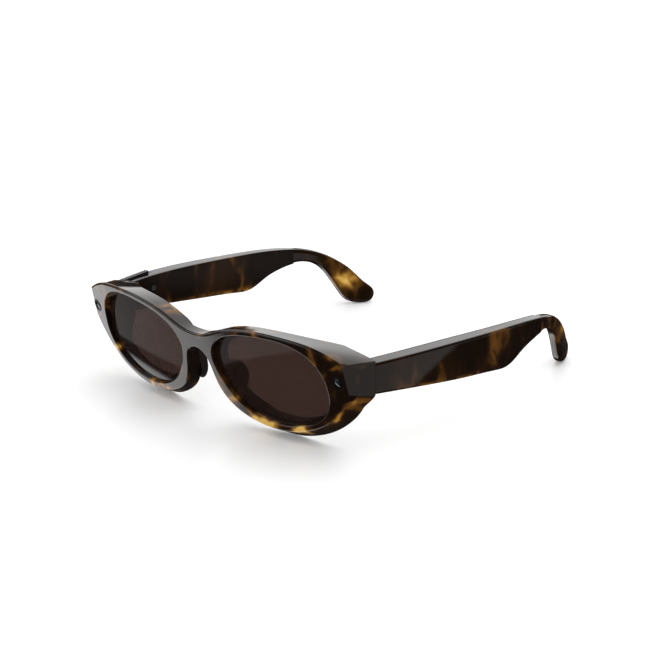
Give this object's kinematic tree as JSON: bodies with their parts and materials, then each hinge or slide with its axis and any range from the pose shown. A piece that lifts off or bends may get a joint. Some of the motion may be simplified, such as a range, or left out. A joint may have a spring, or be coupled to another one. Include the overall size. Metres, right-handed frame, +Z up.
{
  "type": "smart glasses",
  "caption": "Glossy tortoiseshell camera glasses with tinted oval lenses, a recording light, capture and power buttons, open-ear speakers and hinged temples.",
  "frame": {"origin": "on the floor, under the middle of the box around the open glasses", "axes": "X to the wearer's left, Y rearward along the open temples, Z up"},
  "size_m": [0.1472, 0.1539, 0.0433],
  "materials": {
    "tortoiseshell_acetate": "polished, dark brown with amber patches",
    "tortoiseshell_tip": "polished, amber and brown streaks",
    "tinted_lens": "clear gloss, brown tint",
    "smoked_silicone": "satin, translucent",
    "black_ring": "gloss black",
    "camera_glass": "gloss, coated",
    "light_diffuser": "gloss, smoked",
    "module_black": "matt black",
    "flex_film": "satin amber film",
    "gold_contacts": "polished gold plate",
    "microphone_can": "satin",
    "steel_screws": "satin",
    "hinge_steel": "satin",
    "core_wire_steel": "satin",
    "battery_foil": "satin pouch foil",
    "board_green": "satin solder mask",
    "speaker_can": "matt",
    "grille_mesh": "matt black",
    "button_black": "satin black",
    "switch_metal": "satin",
    "status_blue": "gloss, blue"
  },
  "bodies": {
    "front": {"front_frame": "tortoiseshell_acetate", "lens_left": "tinted_lens", "lens_right": "tinted_lens", "nose_pad_left": "smoked_silicone", "nose_pad_right": "smoked_silicone", "camera_bezel": "black_ring", "camera_window": "camera_glass", "camera_module": "module_black", "light_bezel": "black_ring", "light_window": "light_diffuser", "light_module": "module_black", "front_cable": "flex_film", "bridge_microphone": "microphone_can", "charging_contacts": "gold_contacts", "hinge_front_leaf_left": "hinge_steel", "hinge_front_leaf_right": "hinge_steel", "front_hinge_screws": "steel_screws", "hinge_pin_left": "steel_screws", "hinge_pin_right": "steel_screws"},
    "left_temple": {"left_temple_outer_shell": "tortoiseshell_acetate", "left_temple_inner_cover": "tortoiseshell_acetate", "left_temple_tip": "tortoiseshell_tip", "left_temple_core_wire": "core_wire_steel", "left_temple_hinge_leaf": "hinge_steel", "left_temple_hinge_screws": "steel_screws", "left_temple_battery": "battery_foil", "left_temple_circuit_board": "board_green", "left_temple_speaker": "speaker_can", "left_temple_speaker_grille": "grille_mesh", "left_temple_microphone": "microphone_can"},
    "right_temple": {"right_temple_outer_shell": "tortoiseshell_acetate", "right_temple_inner_cover": "tortoiseshell_acetate", "right_temple_tip": "tortoiseshell_tip", "right_temple_core_wire": "core_wire_steel", "right_temple_hinge_leaf": "hinge_steel", "right_temple_hinge_screws": "steel_screws", "right_temple_battery": "battery_foil", "right_temple_circuit_board": "board_green", "right_temple_speaker": "speaker_can", "right_temple_speaker_grille": "grille_mesh", "right_temple_microphone": "microphone_can", "right_temple_touch_film": "flex_film", "capture_switch": "switch_metal", "power_switch": "switch_metal", "status_light": "status_blue"},
    "capture_button": {"capture_button": "button_black"},
    "power_button": {"power_button": "button_black"}
  },
  "joints": [
    {"name": "left_temple_fold", "type": "hinge", "parent": "front", "child": "left_temple", "pos_m": [0.0629, -0.05132, 0.0284], "axis": [0, 0, 1], "range_deg": [0, 86.5]},
    {"name": "right_temple_fold", "type": "hinge", "parent": "front", "child": "right_temple", "pos_m": [-0.0629, -0.05132, 0.0284], "axis": [0, 0, -1], "range_deg": [0, 75.5]},
    {"name": "capture_button_press", "type": "slide", "parent": "right_temple", "child": "capture_button", "axis": [0, 0, -1], "range_m": [0, 0.0003], "stiffness_N_per_m": 2500, "springref_m": -0.0002},
    {"name": "power_button_press", "type": "slide", "parent": "right_temple", "child": "power_button", "axis": [-1, 0, 0], "range_m": [0, 0.0003], "stiffness_N_per_m": 2500, "springref_m": -0.0002}
  ]
}
